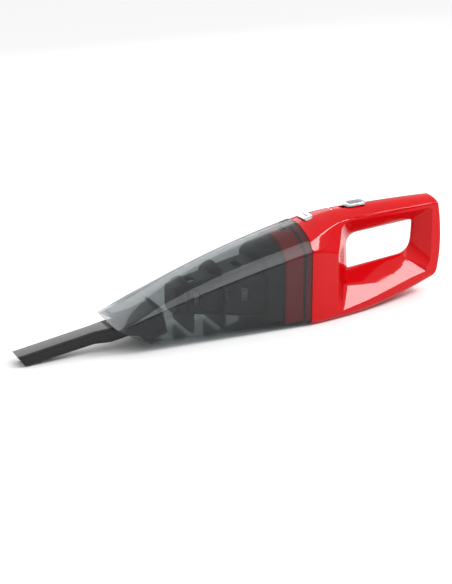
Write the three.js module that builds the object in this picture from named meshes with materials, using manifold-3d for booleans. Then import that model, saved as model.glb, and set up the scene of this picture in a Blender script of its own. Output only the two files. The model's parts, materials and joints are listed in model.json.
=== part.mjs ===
// A cordless handheld vacuum: motor body with a closed D handle, smoked dust container, filter and crevice tool.
// Millimetres. The parts are drawn with +X to the rear, +Z up and X = 0 at the joint between container and body.
// The finished group is then pitched so that its belly and the tip of the tool lie on Z = 0.
import * as THREE from 'three';
import { mergeVertices } from 'three/addons/utils/BufferGeometryUtils.js';
import Module from 'manifold-3d';

const wasm = await Module();
wasm.setup();

// Driving sizes of the body.
const BODY_LENGTH = 183;
const BODY_WIDTH = 97;
const BODY_HEIGHT = 110;
const SHOULDER_HEIGHT = 86;
const BELLY_FLAT = 50;
const BELLY_RISE = 19.5;
const HOUSING_WALL = 2.5;
const CORNER_RADIUS = 8;
const PART_GAP = 0.3;

// Driving sizes of the container and its mouth.
const CONTAINER_LENGTH = 224;
const CONTAINER_WALL = 2.2;
const MOUTH_REACH = 36.7;
const SLIDE_CLEARANCE = 0.8;

// Neck, filter and mouth flap.
const NECK_LENGTH = 30;
const NECK_TAIL = 8;
const NECK_WALL = 2.2;
const NECK_FIT = 0.5;
const EYE_RADIUS = 22;
const EYE_HEIGHT = 46;
const FRAME_DEPTH = 17.5;
const FILTER_ROOM = 18.7;
const BAFFLE_OFFSETS = [12.8, 49.8];
const BAFFLE_THICKNESS = 2;
const FILTER_CLEARANCE = 3.3;
const PLEATS = 22;
const DUCT_WALL = 1.6;
const FLAP_HINGE = { x: 53.5 - CONTAINER_LENGTH, z: 34.6 };
const FLAP_LENGTH = 27;
const FLAP_WIDTH = 46;

// Crevice tool.
const TOOL_REACH = CONTAINER_LENGTH + 107;
const TOOL_SLOPE = 0.182;
const TOOL_WIDTH = 24;
const TOOL_HEIGHT = 13;
const TOOL_WALL = 1.5;
const TOOL_BEND = { x: -16 - CONTAINER_LENGTH, z: 10.6 };
const TIP_BACKSET = 8.5;
const PLUG_WIDTH = 46;
const PLUG_HEIGHT = 20;
const MOUTH_WIDTH = PLUG_WIDTH + 24;
const MOUTH_LIP_HEIGHT = PLUG_HEIGHT + 2;
const PLUG_END = 33 - CONTAINER_LENGTH;
const PLUG_FLOOR = 4.3;
const FIT = 0.4;

// Drive and power.
const MOTOR_HEIGHT = 50;
const MOTOR_RADIUS = 15.5;
const MOTOR_LENGTH = 26;
const FAN_RADIUS = 33;
const FAN_BLADES = 9;
const CASE_WALL = 1.6;
const CASE_START = 9;
const CASE_DEPTH = 16;
const SHAFT_RADIUS = 1.5;
const CELL_RADIUS = 9.2;
const CELL_LENGTH = 65;

// Controls on the top.
const BUTTON = { x: 14, length: 12, width: 20, height: 3 };
const BUTTON_TRAVEL = 2.5;
const SWITCH = { x: 76, length: 26, width: 15, height: 3.4 };
const SWITCH_TRAVEL = 6;
const SCREW_RADIUS = 1.4;

const lerp = THREE.MathUtils.lerp;
const HALF_WIDTH = BODY_WIDTH / 2;

// The axis of the tool rises to its bend; its slanted tip runs from the top edge back to the low edge.
const toolCentre = (x) => TOOL_BEND.z + TOOL_SLOPE * (x - TOOL_BEND.x);
const TIP_TOP = { x: -TOOL_REACH, z: toolCentre(-TOOL_REACH) + TOOL_HEIGHT / 2 };
const TIP_LOW = {
  x: TIP_BACKSET - TOOL_REACH,
  z: toolCentre(TIP_BACKSET - TOOL_REACH) - TOOL_HEIGHT / 2,
};
const REST_PITCH = Math.atan2(-TIP_LOW.z, -TIP_LOW.x);

// ---- solids ----

function toSolid(geometry) {
  const bare = new THREE.BufferGeometry();
  bare.setAttribute('position', geometry.getAttribute('position').clone());
  if (geometry.index) bare.setIndex(geometry.index.clone());
  const merged = mergeVertices(bare, 1e-4);
  const triVerts = new Uint32Array(merged.index.array);
  const vertProperties = new Float32Array(merged.attributes.position.array);
  return new wasm.Manifold(new wasm.Mesh({ numProp: 3, vertProperties, triVerts }));
}

function toGeometry(solid) {
  const mesh = solid.getMesh();
  const geometry = new THREE.BufferGeometry();
  geometry.setAttribute('position', new THREE.BufferAttribute(new Float32Array(mesh.vertProperties), 3));
  geometry.setIndex(new THREE.BufferAttribute(new Uint32Array(mesh.triVerts), 1));
  geometry.computeVertexNormals();
  return geometry;
}

const join = (...solids) => solids.reduce((a, b) => a.add(b));
const cut = (solid, ...tools) => tools.reduce((a, b) => a.subtract(b), solid);
const common = (...solids) => solids.reduce((a, b) => a.intersect(b));

// A closed skin through rings that all have the same number of points.
function loft(rings) {
  const count = rings[0].length;
  const positions = rings.flat().flatMap((p) => [p.x, p.y, p.z]);
  const index = [];
  for (let ring = 0; ring + 1 < rings.length; ring += 1) {
    for (let i = 0; i < count; i += 1) {
      const a = ring * count + i;
      const b = ring * count + ((i + 1) % count);
      index.push(a, b, b + count, a, b + count, a + count);
    }
  }
  const flat = (ring) => {
    const box = new THREE.Box3().setFromPoints(ring).getSize(new THREE.Vector3());
    if (box.x <= box.y) return ring.map((p) => new THREE.Vector2(p.y, p.z));
    return ring.map((p) => new THREE.Vector2(p.x, p.z));
  };
  const last = (rings.length - 1) * count;
  const turn = THREE.ShapeUtils.isClockWise(flat(rings[0])) ? -1 : 1;
  for (const [a, b, c] of THREE.ShapeUtils.triangulateShape(flat(rings[0]), [])) {
    index.push(...(turn > 0 ? [a, c, b] : [a, b, c]));
    index.push(...(turn > 0 ? [last + a, last + b, last + c] : [last + a, last + c, last + b]));
  }
  const geometry = new THREE.BufferGeometry();
  geometry.setAttribute('position', new THREE.Float32BufferAttribute(positions, 3));
  geometry.setIndex(index);
  const solid = toSolid(geometry);
  if (solid.volume() > 0) return solid;
  for (let i = 0; i < index.length; i += 3) [index[i + 1], index[i + 2]] = [index[i + 2], index[i + 1]];
  geometry.setIndex(index);
  return toSolid(geometry);
}

// Turns a solid about the X and Y axes, in degrees, and moves it.
function moved(solid, { turnX = 0, turnY = 0, x = 0, y = 0, z = 0 }) {
  const geometry = toGeometry(solid);
  geometry.rotateX(THREE.MathUtils.degToRad(turnX));
  geometry.rotateY(THREE.MathUtils.degToRad(turnY));
  geometry.translate(x, y, z);
  return toSolid(geometry);
}

function box(x0, x1, y0, y1, z0, z1) {
  const geometry = new THREE.BoxGeometry(x1 - x0, y1 - y0, z1 - z0);
  geometry.translate((x0 + x1) / 2, (y0 + y1) / 2, (z0 + z1) / 2);
  return toSolid(geometry);
}

// A side outline in X and Z, extruded across the width.
function sideSolid(shape, halfWidth = 80) {
  const geometry = new THREE.ExtrudeGeometry(shape, { depth: 2 * halfWidth, bevelEnabled: false, curveSegments: 6 });
  geometry.rotateX(Math.PI / 2);
  geometry.translate(0, halfWidth, 0);
  return toSolid(geometry);
}

function rodX(radius, x0, x1, y, z, sides = 20) {
  const geometry = new THREE.CylinderGeometry(radius, radius, x1 - x0, sides);
  geometry.rotateZ(-Math.PI / 2);
  geometry.translate((x0 + x1) / 2, y, z);
  return toSolid(geometry);
}

function rodY(radius, y0, y1, x, z, sides = 12) {
  const geometry = new THREE.CylinderGeometry(radius, radius, y1 - y0, sides);
  geometry.translate(x, (y0 + y1) / 2, z);
  return toSolid(geometry);
}

function rodZ(radius, z0, z1, x, y, sides = 16) {
  const geometry = new THREE.CylinderGeometry(radius, radius, z1 - z0, sides);
  geometry.rotateX(Math.PI / 2);
  geometry.translate(x, y, (z0 + z1) / 2);
  return toSolid(geometry);
}

// A box with rounded corners in plan, lying along X and Y, that stands on z0.
function plate(length, width, z0, z1, radius, x = 0) {
  const shape = new THREE.Shape();
  const a = length / 2;
  const b = width / 2;
  shape.moveTo(-a + radius, -b);
  shape.lineTo(a - radius, -b);
  shape.absarc(a - radius, -b + radius, radius, -Math.PI / 2, 0);
  shape.absarc(a - radius, b - radius, radius, 0, Math.PI / 2);
  shape.absarc(-a + radius, b - radius, radius, Math.PI / 2, Math.PI);
  shape.absarc(-a + radius, -b + radius, radius, Math.PI, 1.5 * Math.PI);
  const geometry = new THREE.ExtrudeGeometry(shape, { depth: z1 - z0, bevelEnabled: false, curveSegments: 4 });
  geometry.translate(x, 0, z0);
  return toSolid(geometry);
}

// Tilts a solid drawn about the origin to a slope and moves it to (x, z).
function placed(solid, slope, x, z) {
  const angle = THREE.MathUtils.radToDeg(Math.atan(slope));
  return moved(solid, { turnY: -angle, x, z });
}

// ---- outer form ----

// Stations along the body: share of its length, then half-widths as shares of the half-width at the joint
// (foot, shoulder, top edge) and heights of the shoulder, the top edge and the crown.
const STATIONS = [
  [0, 1, 1, 0.784, SHOULDER_HEIGHT, 98.4, BODY_HEIGHT],
  [0.11, 0.97, 0.94, 0.68, SHOULDER_HEIGHT - 3, 103, BODY_HEIGHT + 4.6],
  [0.25, 0.89, 0.83, 0.5, SHOULDER_HEIGHT - 13, 109, BODY_HEIGHT + 8.8],
  [0.41, 0.785, 0.745, 0.425, SHOULDER_HEIGHT - 25, 111, BODY_HEIGHT + 10.2],
  [0.6, 0.63, 0.6, 0.385, SHOULDER_HEIGHT - 31, 112.6, BODY_HEIGHT + 11.4],
  [0.82, 0.445, 0.435, 0.355, SHOULDER_HEIGHT - 31, 114, BODY_HEIGHT + 12.2],
  [1.05, 0.31, 0.32, 0.33, SHOULDER_HEIGHT - 26, 115, BODY_HEIGHT + 12],
];
const COLUMNS = STATIONS[0].length - 1;
const bodyCurve = new THREE.CubicInterpolant(
  STATIONS.map((row) => row[0]),
  STATIONS.flatMap((row) => row.slice(1)),
  COLUMNS,
);

function bellyHeight(x) {
  const past = Math.max(0, x - BELLY_FLAT) / (BODY_LENGTH - BELLY_FLAT);
  return x * Math.tan(REST_PITCH) + BELLY_RISE * past ** 1.8;
}

// The section of the outer form at x, drawn in by an inset.
function sectionSizes(x) {
  if (x > 0) {
    const [foot, shoulder, edge, shoulderZ, edgeZ, crownZ] = bodyCurve.evaluate(x / BODY_LENGTH);
    return {
      foot: foot * HALF_WIDTH,
      shoulder: shoulder * HALF_WIDTH,
      edge: edge * HALF_WIDTH,
      footZ: bellyHeight(x),
      shoulderZ,
      edgeZ,
      crownZ,
    };
  }
  const t = Math.max(0, 1 + x / CONTAINER_LENGTH);
  const swell = 1 - (1 - t) ** 3;
  const side = lerp(MOUTH_WIDTH / 2, HALF_WIDTH, t);
  const shoulderZ = lerp(MOUTH_LIP_HEIGHT, SHOULDER_HEIGHT, t) + 12 * t * (1 - t);
  return {
    foot: side,
    shoulder: side,
    edge: side - lerp(1, HALF_WIDTH * (1 - STATIONS[0][3]), swell),
    footZ: 0,
    shoulderZ,
    edgeZ: shoulderZ + lerp(0.6, STATIONS[0][5] - SHOULDER_HEIGHT, swell),
    crownZ: shoulderZ + lerp(1.6, BODY_HEIGHT - SHOULDER_HEIGHT, swell),
  };
}

function sectionRing(x, inset, domeSteps = 4) {
  const s = sectionSizes(x);
  const half = [[0, s.footZ + inset]];
  const radius = CORNER_RADIUS - inset / 2;
  for (let k = 0; k <= 3; k += 1) {
    const a = (k / 3) * (Math.PI / 2);
    const y = s.foot - inset - radius + radius * Math.sin(a);
    half.push([y, s.footZ + inset + radius - radius * Math.cos(a)]);
  }
  half.push([s.shoulder - inset, s.shoulderZ - inset * 0.4]);
  for (let k = 0; k <= domeSteps; k += 1) {
    const y = (s.edge - inset) * (1 - k / domeSteps);
    const rise = (s.crownZ - s.edgeZ) * (1 - (1 - k / domeSteps) ** 2);
    half.push([y, s.edgeZ - inset + rise]);
  }
  const left = half.slice(1, -1).reverse().map(([y, z]) => [-y, z]);
  return [...half, ...left].map(([y, z]) => new THREE.Vector3(x, y, z));
}

const BODY_STATIONS = [-6, 0, 10, 20, 32, 45, 60, 78, 100, 125, 150, 192].map(
  (x) => (x * BODY_LENGTH) / 183,
);
const CONTAINER_STATIONS = [
  ...[1.018, 0.97, 0.9, 0.8, 0.6, 0.35].map((share) => -share * CONTAINER_LENGTH),
  -NECK_LENGTH,
  0,
];

const bodyForm = (inset, from = BODY_STATIONS[0]) =>
  loft([from, ...BODY_STATIONS.filter((x) => x > from)].map((x) => sectionRing(x, inset)));
const containerForm = (inset, to = 0) =>
  loft([...CONTAINER_STATIONS.filter((x) => x < to), to].map((x) => sectionRing(x, inset)));

// What is in front of the rear end, whose corners are round in the side view.
function frontOfRear(inset) {
  const rear = BODY_LENGTH - inset;
  const shape = new THREE.Shape();
  shape.moveTo(-40, -60);
  shape.lineTo(rear - 33, -60);
  shape.lineTo(rear - 26, 17.6);
  shape.quadraticCurveTo(rear - 5.5, 22 + inset, rear - 3, 34);
  shape.quadraticCurveTo(rear + 0.6, 52, rear, 72);
  shape.quadraticCurveTo(rear - 0.8, 96, rear - 4, 110);
  shape.quadraticCurveTo(rear - 6, BODY_HEIGHT + 12.5 - inset, rear - 22, BODY_HEIGHT + 14);
  shape.lineTo(rear - 40, 180);
  shape.lineTo(-40, 180);
  return sideSolid(shape);
}

// The hand opening: corners of its outline in the middle plane, and how far each moves per mm to the side.
const motorStart = CASE_START + CASE_DEPTH + PART_GAP;
const motorEnd = motorStart + MOTOR_LENGTH;
const openingFront = motorEnd + 0.8 * MOTOR_RADIUS + 4.8;
const OPENING = [
  { x: openingFront, z: 45, dx: -0.62, dz: -0.68, radius: 4 },
  { x: BODY_LENGTH - 32, z: 55.5, dx: 1.1, dz: -1.0, radius: 17 },
  { x: BODY_LENGTH - 30, z: 94, dx: 1.1, dz: 1.0, radius: 5 },
  { x: openingFront - 2, z: 86, dx: -0.9, dz: 1.0, radius: 14 },
];
const OPENING_CORNER_STEPS = 4;

function openingRing(side, grow) {
  const depth = Math.abs(side);
  const corners = OPENING.map((c) => {
    const x = c.x + c.dx * depth + Math.sign(c.dx) * grow;
    return new THREE.Vector2(x, c.z + c.dz * depth + Math.sign(c.dz) * grow);
  });
  const points = [];
  corners.forEach((corner, i) => {
    const before = corners[(i + 3) % 4].clone().sub(corner).normalize();
    const after = corners[(i + 1) % 4].clone().sub(corner).normalize();
    const reach = OPENING[i].radius + grow;
    const curve = new THREE.QuadraticBezierCurve(
      corner.clone().addScaledVector(before, reach),
      corner,
      corner.clone().addScaledVector(after, reach),
    );
    points.push(...curve.getPoints(OPENING_CORNER_STEPS));
    const from = points[points.length - 1];
    const to = corners[(i + 1) % 4].clone().addScaledVector(after, -OPENING[(i + 1) % 4].radius - grow);
    for (const share of [0.33, 0.67]) points.push(from.clone().lerp(to, share));
  });
  return points.map((p) => new THREE.Vector3(p.x, side, p.y));
}

const OPENING_DEPTHS = [0, 10, 20, 30, 40, 60];
const openingForm = (grow) =>
  join(...[-1, 1].map((side) => loft(OPENING_DEPTHS.map((depth) => openingRing(side * depth, grow)))));

// What lies above the seam of the top cover, an S in the side view.
function aboveCoverSeam(lift) {
  const shape = new THREE.Shape();
  shape.moveTo(-40, SHOULDER_HEIGHT + lift);
  shape.lineTo(12, SHOULDER_HEIGHT + lift);
  shape.bezierCurveTo(26, SHOULDER_HEIGHT + lift, 30, 108 + lift, 52, 110.6 + lift);
  shape.lineTo(BODY_LENGTH + 20, 115 + lift);
  shape.lineTo(BODY_LENGTH + 20, 220);
  shape.lineTo(-40, 220);
  return sideSolid(shape);
}

// What lies behind the slanted plane of the mouth, moved inwards by a recess.
function behindMouth(recess) {
  const lip = new THREE.Vector2(-CONTAINER_LENGTH, MOUTH_LIP_HEIGHT);
  const along = new THREE.Vector2(MOUTH_REACH, -MOUTH_LIP_HEIGHT).normalize();
  const inward = new THREE.Vector2(-along.y, along.x).multiplyScalar(recess);
  const front = lip.clone().add(inward).addScaledVector(along, -150);
  const rear = lip.clone().add(inward).addScaledVector(along, 350);
  const shape = new THREE.Shape([front, rear, new THREE.Vector2(400, 400), new THREE.Vector2(front.x, 400)]);
  return sideSolid(shape);
}

// ---- housings, cover, neck ----

const outer = common(bodyForm(0, 0), frontOfRear(0));
const cavity = cut(common(bodyForm(HOUSING_WALL), frontOfRear(HOUSING_WALL)), openingForm(HOUSING_WALL * 1.25));
const skin = cut(outer, openingForm(0), cavity);

const SCREWS = [
  { x: 16, z: 7.6 },
  { x: 50, z: 8.6 },
  { x: 171, z: 37 },
  { x: 168, z: 104 },
  { x: 34, z: 92 },
].map(({ x, z }) => ({ x: (x * BODY_LENGTH) / 183, z }));
const BOSS_RADIUS = 3.4;
const SCREW_HEAD_RADIUS = 2.6;
const SCREW_REACH = 9;

const sideOfBody = (x, z) => {
  const s = sectionSizes(x);
  const rise = THREE.MathUtils.clamp((z - s.footZ) / (s.shoulderZ - s.footZ), 0, 1);
  const flank = lerp(s.foot, s.shoulder, rise);
  if (z <= s.shoulderZ) return flank;
  return lerp(s.shoulder, s.edge, Math.min(1, (z - s.shoulderZ) / (s.edgeZ - s.shoulderZ)));
};
const headSeat = ({ x, z }) => Math.min(9, sideOfBody(x, z) - 5);

const bossLimit = common(bodyForm(HOUSING_WALL / 2), frontOfRear(HOUSING_WALL / 2));

const fanCaseRadius = FAN_RADIUS + 3;
const cradleX = motorStart + MOTOR_LENGTH - 6;
const cradle = cut(
  common(bossLimit, box(cradleX, cradleX + 2, -60, 60, 0, 100)),
  openingForm(HOUSING_WALL / 2),
  rodX(MOTOR_RADIUS + 4.2, cradleX - 1, cradleX + 3, 0, MOTOR_HEIGHT, 24),
  box(cradleX - 1, cradleX + 3, -9, 9, 80, 100),
  box(cradleX - 1, cradleX + 3, -12, 12, 0, 26),
);

const SOCKET = { z: 45, radius: 5 };
const socketHole = rodX(SOCKET.radius + PART_GAP, BODY_LENGTH - 14, BODY_LENGTH + 6, 0, SOCKET.z);

// Slanted exhaust slots through the front wall of the hand opening.
const EXHAUST_SLOTS = 7;
function exhaustSlots(side) {
  const slots = [];
  for (let i = 0; i < EXHAUST_SLOTS; i += 1) {
    const slot = new THREE.BoxGeometry(15, 9, 1.5);
    slot.rotateY(THREE.MathUtils.degToRad(28));
    slot.rotateZ(THREE.MathUtils.degToRad(-side * 53));
    slot.translate(OPENING[0].x - 15, side * 20, 36 + i * 6.2);
    slots.push(toSolid(slot));
  }
  return slots;
}

function housing(side) {
  const half = box(-10, BODY_LENGTH + 20, Math.min(side * 0.15, side * 70), Math.max(side * 0.15, side * 70), -20, 160);
  const below = cut(half, aboveCoverSeam(-PART_GAP / 2));
  const bosses = SCREWS.map((s) => common(rodY(BOSS_RADIUS, -70, 70, s.x, s.z), bossLimit));
  const body = common(join(skin, cradle, ...bosses), below);
  const bores = SCREWS.map((s) => {
    if (side < 0) return rodY(SCREW_RADIUS + 0.2, -SCREW_REACH - 1, 1, s.x, s.z, 10);
    return join(
      rodY(SCREW_RADIUS + 0.2, -1, headSeat(s) + 1, s.x, s.z, 10),
      rodY(SCREW_HEAD_RADIUS + 0.2, headSeat(s), 70, s.x, s.z),
    );
  });
  return cut(body, openingForm(0), ...bores, socketHole, ...exhaustSlots(side));
}

const surfaceHeight = (x) => sectionSizes(x).crownZ;
const surfaceSlope = (x) => (surfaceHeight(x + 5) - surfaceHeight(x - 5)) / 10;

// Tools drawn about the origin are put on the top surface, tilted with it.
const onTop = (solid, at, lift = 0) => placed(solid, surfaceSlope(at.x), at.x, surfaceHeight(at.x) + lift);

const pocket = (at, clearance, extra = 0) =>
  plate(at.length + 2 * clearance + extra, at.width + 2 * clearance, -12, 12, 4, -extra / 2);
const LIGHTS = [-3.2, 3.2].map((y) => ({ x: 45, y }));

const topCover = cut(
  common(skin, aboveCoverSeam(PART_GAP / 2)),
  onTop(pocket(BUTTON, 0.4, BUTTON_TRAVEL * surfaceSlope(BUTTON.x)), BUTTON),
  onTop(pocket({ ...SWITCH, width: SWITCH.width - 5 }, 0.4, SWITCH_TRAVEL), SWITCH),
  ...LIGHTS.map((l) => onTop(rodZ(1.3, -8, 8, 0, l.y, 12), { x: l.x })),
);

// The neck's front is clear of the container's wall and its tail of the housing's wall.
const NECK_INSET = CONTAINER_WALL + SLIDE_CLEARANCE;
const NECK_TAIL_INSET = HOUSING_WALL + NECK_FIT;
const neckForm = (inset) =>
  loft([
    sectionRing(-NECK_LENGTH, NECK_INSET + inset),
    sectionRing(-1, NECK_INSET + inset),
    sectionRing(-PART_GAP, NECK_TAIL_INSET + inset),
    sectionRing(NECK_TAIL, NECK_TAIL_INSET + inset),
  ]);
const LATCH = { width: 12, front: -17 };
const coverScrews = [-1, 1].flatMap((y) => [-1, 1].map((z) => ({ y: y * 27, z: EYE_HEIGHT + z * 22 })));
const neck = cut(
  neckForm(0),
  common(neckForm(NECK_WALL), box(-NECK_LENGTH + 2.4, 40, -80, 80, -20, 160)),
  rodX(EYE_RADIUS, -40, 0, 0, EYE_HEIGHT, 28),
  box(LATCH.front - 2, 40, -LATCH.width / 2 - 1, LATCH.width / 2 + 1, 85, 160),
);

const sealBand = cut(
  loft([-9.5, -6.5].map((x) => sectionRing(x, NECK_INSET - 0.55))),
  loft([-11, -5].map((x) => sectionRing(x, NECK_INSET - 0.15))),
  box(-12, 0, -LATCH.width / 2 - 1, LATCH.width / 2 + 1, 85, 160),
);

// ---- container, duct, flap, tool ----

const hollow = CONTAINER_STATIONS.map((x) => sectionRing(x, CONTAINER_WALL));
const LATCH_CEILING = 1.1;
const latchChannel = (x, at) =>
  channelRing(at, 90, sectionSizes(x).crownZ - LATCH_CEILING, LATCH.width / 2, 1);
const container = cut(
  common(containerForm(0, -PART_GAP), behindMouth(0)),
  loft([...hollow, sectionRing(0, CONTAINER_WALL).map((p) => p.setX(6))]),
  loft([latchChannel(LATCH.front - 1, LATCH.front - 1), latchChannel(0, 0), latchChannel(0, 6)]),
);

const plugFloor = (x) => PLUG_FLOOR + TOOL_SLOPE * (x - PLUG_END);
function channelRing(x, low, high, halfWidth, radius = 3) {
  const points = [];
  for (const [cy, cz, start] of [
    [halfWidth - radius, low + radius, -0.5],
    [halfWidth - radius, high - radius, 0],
    [radius - halfWidth, high - radius, 0.5],
    [radius - halfWidth, low + radius, 1],
  ]) {
    for (let k = 0; k <= 2; k += 1) {
      const a = Math.PI * (start + k / 4);
      points.push(new THREE.Vector3(x, cy + radius * Math.cos(a), cz + radius * Math.sin(a)));
    }
  }
  return points;
}

const ductEnd = FLAP_HINGE.x - 3;
const flapLean = 6;
function ductForm(grow) {
  const mouthEnd = PLUG_END - 1;
  const top = (x) => plugFloor(x) + PLUG_HEIGHT + FIT;
  const rings = [-CONTAINER_LENGTH - 6, mouthEnd].map((x) =>
    channelRing(x, plugFloor(x) - FIT - grow, top(x) + grow, PLUG_WIDTH / 2 + FIT + grow),
  );
  const tail = ductEnd + flapLean + 4;
  rings.push(channelRing(tail, plugFloor(tail) - FIT - grow, FLAP_HINGE.z - 0.8 + grow, PLUG_WIDTH / 2 + FIT + grow));
  return loft(rings);
}
// The duct ends on a plane that leans back at the foot, so the flap lies on it by its own weight.
function inFrontOfFlap(offset) {
  const lean = flapLean / FLAP_LENGTH;
  const shape = new THREE.Shape();
  shape.moveTo(ductEnd + offset - 30 * lean, FLAP_HINGE.z + 30);
  shape.lineTo(ductEnd + offset + 60 * lean, FLAP_HINGE.z - 60);
  shape.lineTo(-400, FLAP_HINGE.z - 60);
  shape.lineTo(-400, FLAP_HINGE.z + 30);
  return sideSolid(shape);
}
const mouthPlate = cut(behindMouth(5), behindMouth(7));
const insideContainer = containerForm(CONTAINER_WALL + FIT, -30);
const duct = cut(
  common(join(common(ductForm(DUCT_WALL), behindMouth(5)), mouthPlate), insideContainer, inFrontOfFlap(0)),
  ductForm(0),
);

const flapPin = rodY(1, -FLAP_WIDTH / 2 - 2, FLAP_WIDTH / 2 + 2, FLAP_HINGE.x, FLAP_HINGE.z, 12);
const flapPlate = join(
  box(-0.7, 0.7, -FLAP_WIDTH / 2, FLAP_WIDTH / 2, -FLAP_LENGTH, 0),
  rodY(2, -FLAP_WIDTH / 2, FLAP_WIDTH / 2, 0, 0),
);
const flapTilt = THREE.MathUtils.radToDeg(Math.atan2(flapLean, FLAP_LENGTH));
const flap = cut(
  moved(flapPlate, { turnY: -flapTilt, x: FLAP_HINGE.x, z: FLAP_HINGE.z }),
  rodY(1.05, -50, 50, FLAP_HINGE.x, FLAP_HINGE.z, 12),
);

function toolForm(inset) {
  const station = (x, halfWidth, low, high) =>
    channelRing(x, low + inset, high - inset, halfWidth - inset, Math.max(0.8, 3 - inset));
  const tip = -TOOL_REACH - 2;
  const bend = TOOL_BEND.x - 4;
  const half = TOOL_HEIGHT / 2;
  return loft([
    station(tip, TOOL_WIDTH / 2, toolCentre(tip) - half, toolCentre(tip) + half),
    station(TIP_LOW.x, TOOL_WIDTH / 2, toolCentre(TIP_LOW.x) - half, toolCentre(TIP_LOW.x) + half),
    station(bend, TOOL_WIDTH / 2, toolCentre(bend) - half - 0.8, toolCentre(bend) + half + 0.6),
    station(bend + 18, TOOL_WIDTH / 2 + 3, 3.1, PLUG_HEIGHT - 0.4),
    station(bend + 37, TOOL_WIDTH / 2 + 5, 8, PLUG_HEIGHT + 0.6),
    station(PLUG_END, TOOL_WIDTH / 2 + 7, plugFloor(PLUG_END) + 2, plugFloor(PLUG_END) + PLUG_HEIGHT - 2),
  ]);
}
function behindTip() {
  const shape = new THREE.Shape();
  shape.moveTo(2 * TIP_TOP.x - TIP_LOW.x, 2 * TIP_TOP.z - TIP_LOW.z);
  shape.lineTo(2 * TIP_LOW.x - TIP_TOP.x, 2 * TIP_LOW.z - TIP_TOP.z);
  shape.lineTo(400, -100);
  shape.lineTo(400, 200);
  shape.lineTo(2 * TIP_TOP.x - TIP_LOW.x, 200);
  return sideSolid(shape);
}
const plug = common(
  loft(
    [-CONTAINER_LENGTH - 4, PLUG_END].map((x) =>
      channelRing(x, plugFloor(x), plugFloor(x) + PLUG_HEIGHT, PLUG_WIDTH / 2),
    ),
  ),
  behindMouth(3.5),
);
const creviceTool = cut(common(join(toolForm(0), plug), behindTip()), toolForm(TOOL_WALL));

// ---- filter ----

const frameRear = -NECK_LENGTH - 2.3;
const frameFront = frameRear - FRAME_DEPTH;
const filterFront = FLAP_HINGE.x + FILTER_ROOM;
const filterLength = frameFront - filterFront;
const frameInset = CONTAINER_WALL + FILTER_CLEARANCE;
function coreForm(inset, from, to) {
  const ring = (x) => {
    const share = (x - filterFront) / filterLength;
    const middle = lerp(39, 42, share);
    const half = lerp(15, 31, share) - inset;
    return channelRing(x, middle - half, middle + half, lerp(16, 29, share) - inset, 6 - inset / 2);
  };
  return loft([ring(from), ring(to)]);
}
const coreEnd = frameFront - PART_GAP;
const baffles = BAFFLE_OFFSETS.map((offset) => {
  const at = filterFront + offset;
  return cut(
    loft([at, at + BAFFLE_THICKNESS].map((x) => sectionRing(x, frameInset + 0.6))),
    box(at - 1, at + BAFFLE_THICKNESS + 1, 24, 60, 0, 22),
    coreForm(-PART_GAP, filterFront, coreEnd),
  );
});
const WINDOWS = [0.19, 0.52, 0.74].map((share) => filterFront + share * filterLength);
const coreWindows = WINDOWS.flatMap((x) => [
  box(x, x + 8, -60, 60, 32, 48),
  box(x, x + 8, -9, 9, -10, 120),
]);
const filterCage = cut(
  coreForm(0, filterFront, coreEnd),
  coreForm(1.8, filterFront + 2, coreEnd + 1),
  ...coreWindows,
);
const filterFrame = cut(
  loft([frameFront, frameRear].map((x) => sectionRing(x, frameInset))),
  loft([frameFront + 2.2, frameRear - 2.2].map((x) => sectionRing(x, frameInset + 2))),
  coreForm(3, frameFront - 2, frameFront + 4),
  rodX(EYE_RADIUS, frameRear - 5, frameRear + 2, 0, EYE_HEIGHT, 28),
);
function pleatRing(x, outerRadius, depth) {
  const points = [];
  for (let i = 0; i < 2 * PLEATS; i += 1) {
    const a = (i / PLEATS) * Math.PI;
    const r = outerRadius - (i % 2) * depth;
    points.push(new THREE.Vector3(x, r * Math.cos(a), 41 + r * Math.sin(a)));
  }
  return points;
}
const elementFront = filterFront + 6;
const elementRear = frameFront - 3;
const filterElement = cut(
  loft([pleatRing(elementFront, 12, 2.5), pleatRing(elementRear, 24, 3.5)]),
  toSolid(
    new THREE.CylinderGeometry(17, 7, elementRear - elementFront + 1, 16)
      .rotateZ(-Math.PI / 2)
      .translate((elementFront + elementRear) / 2 + 2.5, 0, 41),
  ),
);
const filterGasket = cut(
  rodX(EYE_RADIUS + 4, frameRear + PART_GAP, -NECK_LENGTH - PART_GAP, 0, EYE_HEIGHT, 28),
  rodX(EYE_RADIUS + 0.5, frameRear - 1, -NECK_LENGTH + 1, 0, EYE_HEIGHT, 28),
);

// ---- fan, motor, power ----

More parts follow.
